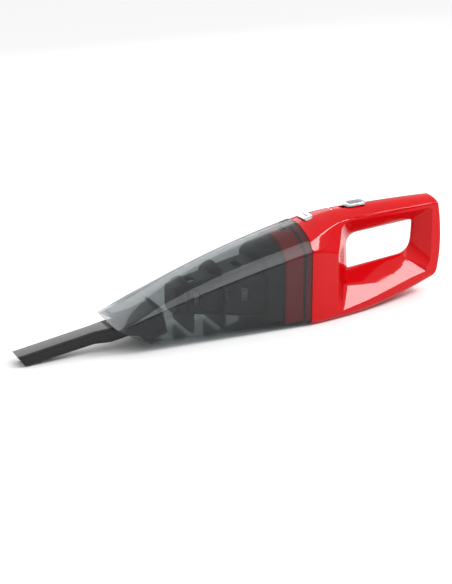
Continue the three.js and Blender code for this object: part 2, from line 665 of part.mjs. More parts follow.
const caseEnd = CASE_START + CASE_DEPTH;
const fanCover = cut(
  rodX(fanCaseRadius + CASE_WALL, CASE_START, CASE_START + CASE_WALL, 0, MOTOR_HEIGHT, 32),
  rodX(13, 0, 40, 0, MOTOR_HEIGHT, 24),
);
const fanCase = cut(
  rodX(fanCaseRadius + CASE_WALL, CASE_START + CASE_WALL + PART_GAP, caseEnd, 0, MOTOR_HEIGHT, 32),
  rodX(fanCaseRadius, 0, caseEnd - CASE_WALL, 0, MOTOR_HEIGHT, 32),
  rodX(4, 0, 40, 0, MOTOR_HEIGHT),
  ...[0, 1, 2, 3, 4, 5].map((i) => {
    const a = (i / 6) * 2 * Math.PI;
    return rodX(5, caseEnd - 4, caseEnd + 2, 26 * Math.cos(a), MOTOR_HEIGHT + 26 * Math.sin(a), 12);
  }),
);
function impellerSolid() {
  const start = CASE_START + CASE_WALL + 2.2;
  const depth = 8;
  const back = rodX(FAN_RADIUS, start + depth, start + depth + 1.4, 0, MOTOR_HEIGHT, 30);
  const hub = rodX(6, start, start + depth + 0.5, 0, MOTOR_HEIGHT);
  const blades = [];
  for (let i = 0; i < FAN_BLADES; i += 1) {
    const blade = new THREE.BoxGeometry(depth + 0.5, 1.2, FAN_RADIUS - 6);
    blade.translate(start + depth / 2 + 0.25, 0, (FAN_RADIUS + 5) / 2);
    blade.rotateX(0.5);
    blade.translate(0, 3, 0);
    blade.rotateX((i / FAN_BLADES) * 2 * Math.PI);
    blade.translate(0, 0, MOTOR_HEIGHT);
    blades.push(toSolid(blade));
  }
  const round = rodX(FAN_RADIUS, 0, 60, 0, MOTOR_HEIGHT, 30);
  const bore = rodX(SHAFT_RADIUS + 0.05, 0, 60, 0, MOTOR_HEIGHT);
  return cut(common(join(back, hub, ...blades), round), bore);
}
const impeller = impellerSolid();
const motorShaft = rodX(SHAFT_RADIUS, CASE_START + 4, motorEnd + 1.5, 0, MOTOR_HEIGHT);
const motorCan = cut(
  rodX(MOTOR_RADIUS, motorStart, motorEnd, 0, MOTOR_HEIGHT, 28),
  rodX(MOTOR_RADIUS - 1.2, motorStart + 1.2, motorEnd + 1, 0, MOTOR_HEIGHT, 28),
  rodX(SHAFT_RADIUS + 0.4, 0, 80, 0, MOTOR_HEIGHT),
);
const motorCap = cut(
  rodX(10, motorEnd + PART_GAP, motorEnd + 2.6, 0, MOTOR_HEIGHT, 24),
  rodX(SHAFT_RADIUS + 0.4, 0, 80, 0, MOTOR_HEIGHT),
);
const armature = cut(
  rodX(12.5, motorStart + 4, motorEnd - 4, 0, MOTOR_HEIGHT, 18),
  rodX(SHAFT_RADIUS + 0.05, 0, 80, 0, MOTOR_HEIGHT),
  ...[0, 1, 2].map((i) =>
    moved(box(0, 80, -1.5, 1.5, 8, 20), { turnX: i * 120, z: MOTOR_HEIGHT }),
  ),
);
const motorRing = cut(
  rodX(MOTOR_RADIUS + 3.9, cradleX - 1, cradleX + 3, 0, MOTOR_HEIGHT, 24),
  rodX(MOTOR_RADIUS + PART_GAP, 0, 80, 0, MOTOR_HEIGHT, 28),
);

const CELLS = { x: BODY_LENGTH - 92, spacing: CELL_RADIUS + 0.5 };
const cellsHeight = bellyHeight(CELLS.x) + HOUSING_WALL + CELL_RADIUS + 2.1;
const cellsSlope = (bellyHeight(CELLS.x + 32) - bellyHeight(CELLS.x - 32)) / 64 - 0.012;
const onCells = (solid) => placed(solid, cellsSlope, CELLS.x, cellsHeight);
const cell = (side) =>
  join(
    rodX(CELL_RADIUS, -CELL_LENGTH / 2, CELL_LENGTH / 2, side * CELLS.spacing, 0, 20),
    rodX(3, CELL_LENGTH / 2 - 1, CELL_LENGTH / 2 + 1, side * CELLS.spacing, 0, 10),
  );
const link = (x) => box(x, x + 0.5, -CELLS.spacing - 6, CELLS.spacing + 6, -3, 3);
const strap = (x) => {
  const wide = (r) => join(
    rodX(r, x - (r > CELL_RADIUS + 1 ? 0 : 1), x + 6 + (r > CELL_RADIUS + 1 ? 0 : 1), -CELLS.spacing, 0, 20),
    rodX(r, x - (r > CELL_RADIUS + 1 ? 0 : 1), x + 6 + (r > CELL_RADIUS + 1 ? 0 : 1), CELLS.spacing, 0, 20),
    box(x - 1, x + 7, -CELLS.spacing, CELLS.spacing, -r, r),
  );
  return cut(common(wide(CELL_RADIUS + 1.3), box(x, x + 6, -40, 40, -20, 20)), wide(CELL_RADIUS + PART_GAP));
};
const chargeBoard = box(BODY_LENGTH - 14.6, BODY_LENGTH - 13, -9, 9, 54, 86);
const chargeSocket = cut(
  common(rodX(SOCKET.radius, BODY_LENGTH - 13, BODY_LENGTH + 5, 0, SOCKET.z), frontOfRear(0.3)),
  rodX(2.8, BODY_LENGTH - 11, BODY_LENGTH + 6, 0, SOCKET.z, 14),
);
const socketPin = rodX(0.9, BODY_LENGTH - 10.7, BODY_LENGTH - 3.5, 0, SOCKET.z, 10);

const screw = (s) => {
  const solid = join(
    rodY(SCREW_RADIUS, -SCREW_REACH, headSeat(s) + 1, s.x, s.z, 10),
    rodY(SCREW_HEAD_RADIUS, headSeat(s) + PART_GAP, headSeat(s) + 2, s.x, s.z),
  );
  return cut(solid, box(s.x - 1.6, s.x + 1.6, headSeat(s) + 1.2, headSeat(s) + 3, s.z - 0.35, s.z + 0.35));
};
const coverScrew = ({ y, z }) => rodX(1.6, -NECK_LENGTH - 1.2, -NECK_LENGTH - PART_GAP, y, z, 10);
const exhaustFoam = (side) =>
  toSolid(
    new THREE.BoxGeometry(9, 2.4, 32)
      .rotateZ(THREE.MathUtils.degToRad(-side * 53))
      .translate(cradleX - 4.3, side * 25.9, 55),
  );

// ---- controls ----

const buttonLift = 0.2;
const buttonCap = onTop(plate(BUTTON.length, BUTTON.width, -3.5, BUTTON.height - 1, 3.6), BUTTON, buttonLift);
const buttonGrip = onTop(
  plate(3.6, BUTTON.width - 6, BUTTON.height - 1 + PART_GAP, BUTTON.height - 0.1, 1.5),
  BUTTON,
  buttonLift,
);
const hookTop = surfaceHeight(LATCH.front) - CONTAINER_WALL - SLIDE_CLEARANCE;
const latchHook = join(
  box(LATCH.front + 1, BUTTON.x + 4, -LATCH.width / 2 + 1, LATCH.width / 2 - 1, hookTop - 4.5, hookTop - 1.2),
  box(LATCH.front + 1, LATCH.front + 4, -LATCH.width / 2 + 1, LATCH.width / 2 - 1, hookTop - 4.5, hookTop + 1.5),
  box(BUTTON.x - 3, BUTTON.x + 3, -LATCH.width / 2 + 1, LATCH.width / 2 - 1, hookTop - 4.5, 107.6),
);
const springFoot = 88;
const latchSpring = cut(
  rodZ(3, springFoot, hookTop - 4.5 - PART_GAP, BUTTON.x, 0, 12),
  rodZ(2.2, springFoot - 1, hookTop, BUTTON.x, 0, 12),
);

const switchCap = onTop(plate(SWITCH.length, SWITCH.width, 0.7, SWITCH.height, 5), SWITCH);
const switchStem = onTop(plate(SWITCH.length - 12, SWITCH.width - 8, -8, 1, 3), SWITCH);
const switchPad = onTop(
  plate(SWITCH.length - 9, SWITCH.width - 5, SWITCH.height + PART_GAP, SWITCH.height + 1, 2.5),
  SWITCH,
);
const switchBody = onTop(
  cut(plate(SWITCH.length + 6, 14, -16, -6, 1.5), plate(SWITCH.length, 9, -10, -5, 2, -2)),
  SWITCH,
);
const light = (l) => onTop(rodZ(1, -7, 0.1, 0, l.y, 12), { x: l.x });

// ---- materials and scene ----

const material = (color, roughness, metalness = 0, extra = {}) =>
  new THREE.MeshStandardMaterial({ color, roughness, metalness, flatShading: true, ...extra });
const red = material(0xd8141c, 0.2);
const black = material(0x141416, 0.3);
const smoke = material(0x3a3d3f, 0.08, 0, { transparent: true, opacity: 0.45 });
const silver = material(0xc4c6ca, 0.28, 0.9);
const grey = material(0x85878b, 0.7);
const rubber = material(0x222224, 0.85);
const steel = material(0xa8aaad, 0.35, 1);
const paper = material(0xe8e5dc, 0.9);
const green = material(0x1e6b3a, 0.6);
const blue = material(0x2a6fb0, 0.5);
const foam = material(0x4a4a4d, 0.95);
const copper = material(0xb5652d, 0.4, 0.9);
const clear = material(0xf2f5f8, 0.2);

const vacuum = new THREE.Group();
function add(name, solid, look) {
  const mesh = new THREE.Mesh(toGeometry(solid), look);
  mesh.name = name;
  vacuum.add(mesh);
}

add('left_housing', housing(-1), red);
add('right_housing', housing(1), red);
add('top_cover', topCover, red);
add('neck', neck, red);
add('neck_seal', sealBand, rubber);
add('dust_container', container, smoke);
add('inlet_duct', duct, black);
add('inlet_flap', flap, rubber);
add('flap_pin', flapPin, steel);
add('crevice_tool', creviceTool, black);
add('filter_cage', filterCage, black);
add('baffle_front', baffles[0], black);
add('baffle_rear', baffles[1], black);
add('filter_frame', filterFrame, black);
add('filter_element', filterElement, paper);
add('filter_gasket', filterGasket, rubber);
add('release_button', buttonCap, silver);
add('button_grip', buttonGrip, grey);
add('latch_hook', latchHook, black);
add('latch_spring', latchSpring, steel);
add('power_switch', switchCap.add(switchStem), silver);
add('switch_pad', switchPad, grey);
add('switch_body', switchBody, black);
LIGHTS.forEach((l, i) => add(`charge_light_${i + 1}`, light(l), clear));
add('fan_cover', fanCover, black);
add('fan_case', fanCase, black);
add('impeller', impeller, clear);
add('motor_can', motorCan, steel);
add('motor_shaft', motorShaft, steel);
add('motor_armature', armature, copper);
add('motor_cap', motorCap, black);
add('motor_ring', motorRing, rubber);
add('battery_cell_left', onCells(cell(-1)), blue);
add('battery_cell_right', onCells(cell(1)), blue);
add('cell_link', onCells(link(CELL_LENGTH / 2 + 1 + PART_GAP)), steel);
add('battery_strap_front', onCells(strap(-CELL_LENGTH / 2 + 8)), black);
add('battery_strap_rear', onCells(strap(CELL_LENGTH / 2 - 23)), black);
add('charge_board', chargeBoard, green);
add('charge_socket', chargeSocket, black);
add('socket_pin', socketPin, steel);
SCREWS.forEach((s, i) => add(`housing_screw_${i + 1}`, screw(s), steel));
coverScrews.forEach((s, i) => add(`neck_screw_${i + 1}`, coverScrew(s), steel));
add('exhaust_foam_left', exhaustFoam(-1), foam);
add('exhaust_foam_right', exhaustFoam(1), foam);

// The group is pitched to its rest on the ground and moved so that the origin is under its middle.
const pitched = new THREE.Group();
pitched.rotation.y = REST_PITCH;
pitched.add(vacuum);
const part = new THREE.Group();
part.add(pitched);
part.updateMatrixWorld(true);
const bounds = new THREE.Box3().setFromObject(part, true);
const middle = bounds.getCenter(new THREE.Vector3());
pitched.position.set(-middle.x, -middle.y, -bounds.min.z);
part.updateMatrixWorld(true);

export default part;
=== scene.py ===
import json
import math

import bmesh
import bpy
from mathutils import Matrix, Vector


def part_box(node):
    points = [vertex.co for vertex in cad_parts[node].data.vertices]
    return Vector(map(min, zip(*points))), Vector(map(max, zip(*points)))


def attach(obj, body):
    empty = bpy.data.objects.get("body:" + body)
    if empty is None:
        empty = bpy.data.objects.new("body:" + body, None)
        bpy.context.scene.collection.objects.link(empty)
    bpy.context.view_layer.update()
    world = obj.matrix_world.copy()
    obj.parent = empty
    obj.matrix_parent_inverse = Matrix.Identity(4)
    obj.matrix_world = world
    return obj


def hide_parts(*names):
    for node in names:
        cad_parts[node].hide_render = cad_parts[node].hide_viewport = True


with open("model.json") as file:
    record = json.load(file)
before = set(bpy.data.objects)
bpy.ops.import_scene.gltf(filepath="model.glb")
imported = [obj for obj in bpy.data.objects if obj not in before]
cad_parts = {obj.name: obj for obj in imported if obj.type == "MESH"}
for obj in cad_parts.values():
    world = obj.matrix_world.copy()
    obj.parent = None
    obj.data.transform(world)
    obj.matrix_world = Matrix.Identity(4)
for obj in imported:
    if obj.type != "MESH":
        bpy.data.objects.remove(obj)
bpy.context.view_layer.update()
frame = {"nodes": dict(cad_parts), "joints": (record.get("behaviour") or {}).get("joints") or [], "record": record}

MM = 0.001


def joint(name):
    return next(j for j in frame["joints"] if j["name"] == name)


# The design axes have X to the rear from the joint between container and body.
# The row frame is pitched from them.
AXIS = joint("container_slide")["axis"]
PITCH = math.atan2(AXIS[2], -AXIS[0])
SEAM_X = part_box("left_housing")[0].x
DESIGN = Matrix.Translation((SEAM_X, 0, 0)) @ Matrix.Rotation(PITCH, 4, "Y")


def size_of(node):
    low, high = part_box(node)
    return high - low


# ---- outer form, in millimetres of the design axes ----

HALF_WIDTH = size_of("dust_container").y / MM / 2
BODY_LENGTH = 183
BODY_HEIGHT = 110
SHOULDER_HEIGHT = 86
BELLY_FLAT = 50
BELLY_RISE = 19.5
CORNER_RADIUS = 8
HOUSING_WALL = 2.5
CONTAINER_LENGTH = 224
CONTAINER_WALL = 2.2
PLUG_WIDTH = 46
PLUG_HEIGHT = 20
MOUTH_WIDTH = PLUG_WIDTH + 24
MOUTH_LIP_HEIGHT = PLUG_HEIGHT + 2
MOUTH_REACH = 36.7

# Each station is a share of the length, then foot, shoulder and edge as shares of the half-width,
# then the shoulder, edge and crown heights.
STATIONS = [
    [0, 1, 1, 0.784, SHOULDER_HEIGHT, 98.4, BODY_HEIGHT],
    [0.11, 0.97, 0.94, 0.68, SHOULDER_HEIGHT - 3, 103, BODY_HEIGHT + 4.6],
    [0.25, 0.89, 0.83, 0.5, SHOULDER_HEIGHT - 13, 109, BODY_HEIGHT + 8.8],
    [0.41, 0.785, 0.745, 0.425, SHOULDER_HEIGHT - 25, 111, BODY_HEIGHT + 10.2],
    [0.6, 0.63, 0.6, 0.385, SHOULDER_HEIGHT - 31, 112.6, BODY_HEIGHT + 11.4],
    [0.82, 0.445, 0.435, 0.355, SHOULDER_HEIGHT - 31, 114, BODY_HEIGHT + 12.2],
    [1.05, 0.31, 0.32, 0.33, SHOULDER_HEIGHT - 26, 115, BODY_HEIGHT + 12],
]


def lerp(a, b, t):
    return a + (b - a) * t


def station_values(share):
    """A smooth cubic through the stations, at a share of the body's length."""
    i = 1
    while i < len(STATIONS) - 1 and share > STATIONS[i][0]:
        i += 1
    low, high = STATIONS[i - 1], STATIONS[i]
    before = STATIONS[i - 2] if i > 1 else high
    after = STATIONS[i + 1] if i < len(STATIONS) - 1 else low
    span = high[0] - low[0]
    wp = span / 2 / (low[0] - before[0]) if i > 1 else 0.5
    wn = span / 2 / (after[0] - high[0]) if i < len(STATIONS) - 1 else 0.5
    p = (share - low[0]) / span
    p2, p3 = p * p, p * p * p
    weights = (
        -wp * p3 + 2 * wp * p2 - wp * p,
        (1 + wp) * p3 + (-1.5 - 2 * wp) * p2 + (-0.5 + wp) * p + 1,
        (-1 - wn) * p3 + (1.5 + wn) * p2 + 0.5 * p,
        wn * p3 - wn * p2,
    )
    rows = (before, low, high, after)
    return [sum(w * row[k] for w, row in zip(weights, rows)) for k in range(1, 7)]


def belly_height(x):
    past = max(0, x - BELLY_FLAT) / (BODY_LENGTH - BELLY_FLAT)
    return x * math.tan(PITCH) + BELLY_RISE * past**1.8


def section(x):
    """Foot, shoulder and edge half-widths, then foot, shoulder, edge and crown heights at x."""
    if x > 0:
        foot, shoulder, edge, shoulder_z, edge_z, crown_z = station_values(x / BODY_LENGTH)
        return (
            foot * HALF_WIDTH, shoulder * HALF_WIDTH, edge * HALF_WIDTH,
            belly_height(x), shoulder_z, edge_z, crown_z,
        )
    t = max(0.0, 1 + x / CONTAINER_LENGTH)
    swell = 1 - (1 - t) ** 3
    side = lerp(MOUTH_WIDTH / 2, HALF_WIDTH, t)
    shoulder_z = lerp(MOUTH_LIP_HEIGHT, SHOULDER_HEIGHT, t) + 12 * t * (1 - t)
    return (
        side, side, side - lerp(1, HALF_WIDTH * (1 - STATIONS[0][3]), swell),
        0, shoulder_z,
        shoulder_z + lerp(0.6, STATIONS[0][5] - SHOULDER_HEIGHT, swell),
        shoulder_z + lerp(1.6, BODY_HEIGHT - SHOULDER_HEIGHT, swell),
    )


def eased(points, corner, reach, steps=5):
    """Replaces one corner of an outline by a short curve."""
    here = Vector(points[corner])
    before = Vector(points[corner - 1]) - here
    after = Vector(points[corner + 1]) - here
    a = here + before.normalized() * min(reach, before.length * 0.45)
    b = here + after.normalized() * min(reach, after.length * 0.45)
    curve = []
    for k in range(steps + 1):
        t = k / steps
        curve.append((1 - t) ** 2 * a + 2 * t * (1 - t) * here + t * t * b)
    return points[:corner] + [tuple(p) for p in curve] + points[corner + 1:]


CORNER_STEPS = 8
SIDE_STEPS = 6
CROWN_STEPS = 12


def section_ring(x, inset, shoulder_ease=3.0):
    """The outline of the body or container at x: belly, round corner, side, shoulder and crown."""
    foot, shoulder, edge, foot_z, shoulder_z, edge_z, crown_z = section(x)
    half = [(0.0, foot_z + inset)]
    radius = CORNER_RADIUS - inset / 2
    for k in range(CORNER_STEPS + 1):
        a = k / CORNER_STEPS * math.pi / 2
        y = foot - inset - radius + radius * math.sin(a)
        half.append((y, foot_z + inset + radius - radius * math.cos(a)))
    low = half[-1]
    high = (shoulder - inset, shoulder_z - inset * 0.4)
    for k in range(1, SIDE_STEPS):
        half.append((lerp(low[0], high[0], k / SIDE_STEPS), lerp(low[1], high[1], k / SIDE_STEPS)))
    half.append(high)
    shoulder_at = len(half) - 1
    for k in range(CROWN_STEPS + 1):
        y = (edge - inset) * (1 - k / CROWN_STEPS)
        rise = (crown_z - edge_z) * (1 - (1 - k / CROWN_STEPS) ** 2)
        half.append((y, edge_z - inset + rise))
    half = eased(half, shoulder_at + 1, shoulder_ease)
    half = eased(half, shoulder_at, shoulder_ease)
    left = [(-y, z) for y, z in reversed(half[1:-1])]
    return [Vector((x, y, z)) for y, z in half + left]


# ---- mesh tools ----

def mesh_object(name, verts, faces):
    mesh = bpy.data.meshes.new(name)
    mesh.from_pydata([tuple(v) for v in verts], [], faces)
    obj = bpy.data.objects.new(name, mesh)
    bpy.context.scene.collection.objects.link(obj)
    edit = bmesh.new()
    edit.from_mesh(mesh)
    bmesh.ops.recalc_face_normals(edit, faces=edit.faces)
    edit.to_mesh(mesh)
    edit.free()
    return obj


def loft(name, rings):
    """A closed skin through rings that all have the same number of points."""
    count = len(rings[0])
    verts = [p for ring in rings for p in ring]
    faces = []
    for r in range(len(rings) - 1):
        for i in range(count):
            j = (i + 1) % count
            faces.append((r * count + i, r * count + j, (r + 1) * count + j, (r + 1) * count + i))
    faces.append(tuple(range(count)))
    faces.append(tuple(range(len(verts) - count, len(verts))))
    return mesh_object(name, verts, faces)


def side_solid(name, outline, half_width=80.0):
    """A side outline in X and Z, carried across the width."""
    verts = [Vector((x, y, z)) for y in (-half_width, half_width) for x, z in outline]
    n = len(outline)
    faces = [(i, (i + 1) % n, n + (i + 1) % n, n + i) for i in range(n)]
    faces += [tuple(range(n)), tuple(range(n, 2 * n))]
    return mesh_object(name, verts, faces)


def block(name, x0, x1, y0, y1, z0, z1):
    outline = [(x0, z0), (x1, z0), (x1, z1), (x0, z1)]
    obj = side_solid(name, outline, 1.0)
    for v in obj.data.vertices:
        v.co.y = y1 if v.co.y > 0 else y0
    return obj


def boolean(obj, tool, operation="DIFFERENCE"):
    """Cuts, joins or intersects obj with tool, which is used up."""
    modifier = obj.modifiers.new("cut", "BOOLEAN")
    modifier.operation = operation
    modifier.solver = "EXACT"
    modifier.object = tool
    graph = bpy.context.evaluated_depsgraph_get()
    made = bpy.data.meshes.new_from_object(obj.evaluated_get(graph))
    obj.modifiers.clear()
    old = obj.data
    obj.data = made
    bpy.data.meshes.remove(old)
    bpy.data.objects.remove(tool)
    return obj


def copy_of(obj, name):
    made = bpy.data.objects.new(name, obj.data.copy())
    bpy.context.scene.collection.objects.link(made)
    return made


def smooth(obj, angle=32):
    mesh = obj.data
    mesh.polygons.foreach_set("use_smooth", [True] * len(mesh.polygons))
    mesh.set_sharp_from_angle(angle=math.radians(angle))


BEVEL_ANGLE = 35


def finish_piece(obj, body, node, material, angle=32, bevel=0.0):
    """Scales a piece from design millimetres to the row frame and hands it to the frame."""
    obj.data.transform(DESIGN @ Matrix.Scale(MM, 4))
    smooth(obj, angle)
    if bevel:
        cut = obj.modifiers.new("edge", "BEVEL")
        cut.width = bevel * MM
        cut.segments = 3
        cut.limit_method = "ANGLE"
        cut.angle_limit = math.radians(BEVEL_ANGLE)
    obj.data.materials.clear()
    obj.data.materials.append(material)
    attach(obj, body)
    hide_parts(node)


# ---- materials ----

def new_material(name):
    material = bpy.data.materials.new(name)
    material.use_nodes = True
    nodes = material.node_tree.nodes
    shader = nodes["Principled BSDF"]
    return material, nodes, material.node_tree.links, shader


def textured(name, dark, light, roughness, metallic=0.0, scale=60.0, grain=900.0, bump=0.02,
             rough_spread=0.05, specular=0.5):
    """A moulded or plated finish: slow colour drift, fine grain in the bump and a spread in the gloss."""
    material, nodes, links, shader = new_material(name)
    where = nodes.new("ShaderNodeTexCoord")
    drift = nodes.new("ShaderNodeTexNoise")
    drift.inputs["Scale"].default_value = scale
    drift.inputs["Detail"].default_value = 3
    fine = nodes.new("ShaderNodeTexNoise")
    fine.inputs["Scale"].default_value = grain
    fine.inputs["Detail"].default_value = 2
    colour = nodes.new("ShaderNodeMix")
    colour.data_type = "RGBA"
    colour.inputs[6].default_value = (*dark, 1)
    colour.inputs[7].default_value = (*light, 1)
    gloss = nodes.new("ShaderNodeMapRange")
    gloss.inputs["To Min"].default_value = max(0.02, roughness - rough_spread)
    gloss.inputs["To Max"].default_value = roughness + rough_spread
    relief = nodes.new("ShaderNodeBump")
    relief.inputs["Strength"].default_value = bump
    relief.inputs["Distance"].default_value = 0.0004
    links.new(where.outputs["Object"], drift.inputs["Vector"])
    links.new(where.outputs["Object"], fine.inputs["Vector"])
    links.new(drift.outputs["Fac"], colour.inputs[0])
    links.new(colour.outputs[2], shader.inputs["Base Color"])
    links.new(drift.outputs["Fac"], gloss.inputs["Value"])
    links.new(gloss.outputs["Result"], shader.inputs["Roughness"])
    links.new(fine.outputs["Fac"], relief.inputs["Height"])
    links.new(relief.outputs["Normal"], shader.inputs["Normal"])
    shader.inputs["Metallic"].default_value = metallic
    shader.inputs["Specular IOR Level"].default_value = specular
    return material


def smoked_plastic():
    """A thin smoked sheet: each surface passes a share of grey light and mirrors more at a slant."""
    material, nodes, links, shader = new_material("smoked_clear")
    clear = nodes.new("ShaderNodeBsdfTransparent")
    where = nodes.new("ShaderNodeTexCoord")
    drift = nodes.new("ShaderNodeTexNoise")
    drift.inputs["Scale"].default_value = 9
    tint = nodes.new("ShaderNodeMix")
    tint.data_type = "RGBA"
    tint.inputs[6].default_value = (0.60, 0.62, 0.625, 1)
    tint.inputs[7].default_value = (0.63, 0.65, 0.655, 1)
    facing = nodes.new("ShaderNodeLayerWeight")
    facing.inputs["Blend"].default_value = 0.5
    steep = nodes.new("ShaderNodeMath")
    steep.operation = "POWER"
    steep.inputs[1].default_value = 4.2
    share = nodes.new("ShaderNodeMapRange")
    share.inputs["To Min"].default_value = 0.035
    share.inputs["To Max"].default_value = 0.9
    mixed = nodes.new("ShaderNodeMixShader")
    shader.inputs["Base Color"].default_value = (0.75, 0.77, 0.78, 1)
    shader.inputs["Metallic"].default_value = 1.0
    shader.inputs["Roughness"].default_value = 0.06
    links.new(where.outputs["Object"], drift.inputs["Vector"])
    links.new(drift.outputs["Fac"], tint.inputs[0])
    links.new(tint.outputs[2], clear.inputs["Color"])
    links.new(facing.outputs["Facing"], steep.inputs[0])
    links.new(steep.outputs["Value"], share.inputs["Value"])
    links.new(share.outputs["Result"], mixed.inputs["Fac"])
    links.new(clear.outputs["BSDF"], mixed.inputs[1])
    links.new(shader.outputs["BSDF"], mixed.inputs[2])
    links.new(mixed.outputs["Shader"], nodes["Material Output"].inputs["Surface"])
    return material


RED = textured(
    "red_gloss", (0.50, 0.002, 0.004), (0.56, 0.003, 0.006), 0.08,
    scale=14, grain=1400, bump=0.004, rough_spread=0.02, specular=0.2,
)
BLACK_GLOSS = textured(
    "black_gloss", (0.006, 0.006, 0.007), (0.014, 0.014, 0.015), 0.13, scale=30, bump=0.02, specular=0.3,
)
BLACK = textured(
    "black_satin", (0.006, 0.006, 0.007), (0.016, 0.016, 0.017), 0.42, scale=70, grain=2200, bump=0.12,
)
RUBBER = textured(
    "rubber_black", (0.010, 0.010, 0.011), (0.022, 0.022, 0.023), 0.75, grain=2600, bump=0.2,
)
SILVER = textured(
    "satin_silver", (0.60, 0.61, 0.63), (0.74, 0.75, 0.77), 0.24, metallic=0.92, grain=3000, bump=0.02,
)
GREY = textured("grey_grip", (0.26, 0.27, 0.28), (0.36, 0.37, 0.38), 0.55, grain=2500, bump=0.25)
STEEL = textured(
    "plain_steel", (0.42, 0.42, 0.43), (0.56, 0.56, 0.57), 0.33, metallic=1.0, scale=160, bump=0.05,
)
PAPER = textured(
    "filter_paper", (0.70, 0.68, 0.62), (0.84, 0.82, 0.77), 0.95, scale=300, grain=4000, bump=0.4,
)
WHITE = textured("white_moulded", (0.66, 0.67, 0.67), (0.76, 0.77, 0.77), 0.42, bump=0.06)
COPPER = textured(
    "copper_winding", (0.42, 0.16, 0.07), (0.62, 0.27, 0.13), 0.38, metallic=0.9, scale=500, bump=0.3,
)
CELL_BLUE = textured("cell_wrap", (0.03, 0.12, 0.30), (0.05, 0.17, 0.40), 0.3, bump=0.05)
BOARD = textured("green_board", (0.01, 0.10, 0.05), (0.02, 0.16, 0.08), 0.4, scale=400, bump=0.15)
FOAM = textured(
    "open_foam", (0.02, 0.02, 0.022), (0.06, 0.06, 0.063), 0.95, scale=900, grain=1200, bump=0.8,
)
LENS = textured("clear_lens", (0.75, 0.78, 0.80), (0.86, 0.88, 0.90), 0.12, bump=0.02)
SMOKE = smoked_plastic()
BY_SLOT = {
    "red_shell": RED, "smoked_clear": SMOKE, "black_gloss": BLACK_GLOSS, "black_plastic": BLACK,
    "rubber": RUBBER, "silver": SILVER, "grey_grip": GREY, "steel": STEEL, "filter_paper": PAPER,
    "white_plastic": WHITE, "clear_lens": LENS, "copper": COPPER, "cell_wrap": CELL_BLUE,
    "board": BOARD, "foam": FOAM,
}
for subpart in frame["record"]["subparts"]:
    node = frame["nodes"][subpart["node"]]
    node.data.materials.clear()
    node.data.materials.append(BY_SLOT[subpart["material_slot"]])
    smooth(node, 30)


# ---- red shells ----

def front_of_rear(inset):
    """All that lies in front of the curved rear end of the handle."""
    rear = BODY_LENGTH - inset

    def bend(a, mid, b, steps=10):
        return [
            tuple((1 - t) ** 2 * Vector(a) + 2 * t * (1 - t) * Vector(mid) + t * t * Vector(b))
            for t in [k / steps for k in range(1, steps + 1)]
        ]

    outline = [(-40, -60), (rear - 33, -60), (rear - 26, 17.6)]
    outline += bend(outline[-1], (rear - 5.5, 22 + inset), (rear - 3, 34))
    outline += bend(outline[-1], (rear + 0.6, 52), (rear, 72))
    outline += bend(outline[-1], (rear - 0.8, 96), (rear - 4, 110))
    outline += bend(outline[-1], (rear - 5.2, BODY_HEIGHT + 12.6 - inset), (rear - 15, BODY_HEIGHT + 14))
    outline += [(rear - 40, 180), (-40, 180)]
    return side_solid("rear_outline", outline)


# The hand opening: corners in the middle plane, how far each spreads to the side, and its radius.
OPENING = [
    (68.5, 45, -0.8, -0.54, 4),
    (151, 55.5, 1.28, -1.2, 17),
    (153, 94, 1.28, 1.17, 5),
    (66.5, 86, -0.84, 1.1, 14),
]


ROLL_RADIUS = 3


def spread(side):
    """How far the opening's edge has rolled outwards at a distance from the middle plane."""
    return math.sqrt(side * side + ROLL_RADIUS**2) - ROLL_RADIUS


def opening_ring(side, grow):
    depth = spread(side)
    corners = [
        Vector((x + dx * depth + math.copysign(grow, dx), z + dz * depth + math.copysign(grow, dz)))
        for x, z, dx, dz, _ in OPENING
    ]
    points = []
    for i, corner in enumerate(corners):
        before = (corners[i - 1] - corner).normalized()
        after = (corners[(i + 1) % 4] - corner).normalized()
        reach = OPENING[i][4] + grow
        a, b = corner + before * reach, corner + after * reach
        for k in range(11):
            t = k / 10
            points.append((1 - t) ** 2 * a + 2 * t * (1 - t) * corner + t * t * b)
        follow = corners[(i + 1) % 4]
        stop = follow + (corner - follow).normalized() * (OPENING[(i + 1) % 4][4] + grow)
        points += [b.lerp(stop, k / 8) for k in range(1, 8)]
    return [Vector((p.x, side, p.y)) for p in points]


# The flat facet below the opening: a point on it, its fall to the rear and its fall to the outside.
FACET_X, FACET_DEPTH, FACET_Z = 45, 41, 14
FACET_FALL = 0.0436
FACET_SLOPE = 1.15


def facet_ring(side, grow):
    """The space above the facet that slopes from the opening's lower edge to the outside."""
    depth = abs(side)
    front = OPENING[0][0] + OPENING[0][2] * spread(side) - grow
    rear = min(205, 167 + (depth - 20) * 1.7) + 1.2 * grow

    def height(x):
        fall = FACET_FALL * (x - FACET_X)
        return FACET_Z - fall - FACET_SLOPE * (depth - FACET_DEPTH) - 1.55 * grow

    top = max(78, height(front) + 20)
    points = [(front, top), (front, height(front)), (rear, height(rear)), (rear, top)]
    points = eased(points, 2, 2, 4)
    points = eased(points, 1, 8, 6)
    return [Vector((x, side, z)) for x, z in points]


OPENING_DEPTHS = (1.2, 3, 5.5, 8, 11, 14, 18, 22, 26, 32, 38, 44, 50, 60)
FACET_DEPTHS = (9, 14, 20, 26, 32, 38, 44, 50, 60)


def opening_solid(grow):
    depths = [-d for d in reversed(OPENING_DEPTHS)] + list(OPENING_DEPTHS)
    hole = loft("hand_opening", [opening_ring(d, grow) for d in depths])
    for side in (-1, 1):
        facet = loft("facet", [facet_ring(side * d, grow) for d in FACET_DEPTHS])
        hole = boolean(hole, facet, "UNION")
    return hole


SEAM_CURVE = [(12, SHOULDER_HEIGHT), (26, SHOULDER_HEIGHT), (30, 108), (52, 110.6)]
SEAM_STEPS = 18


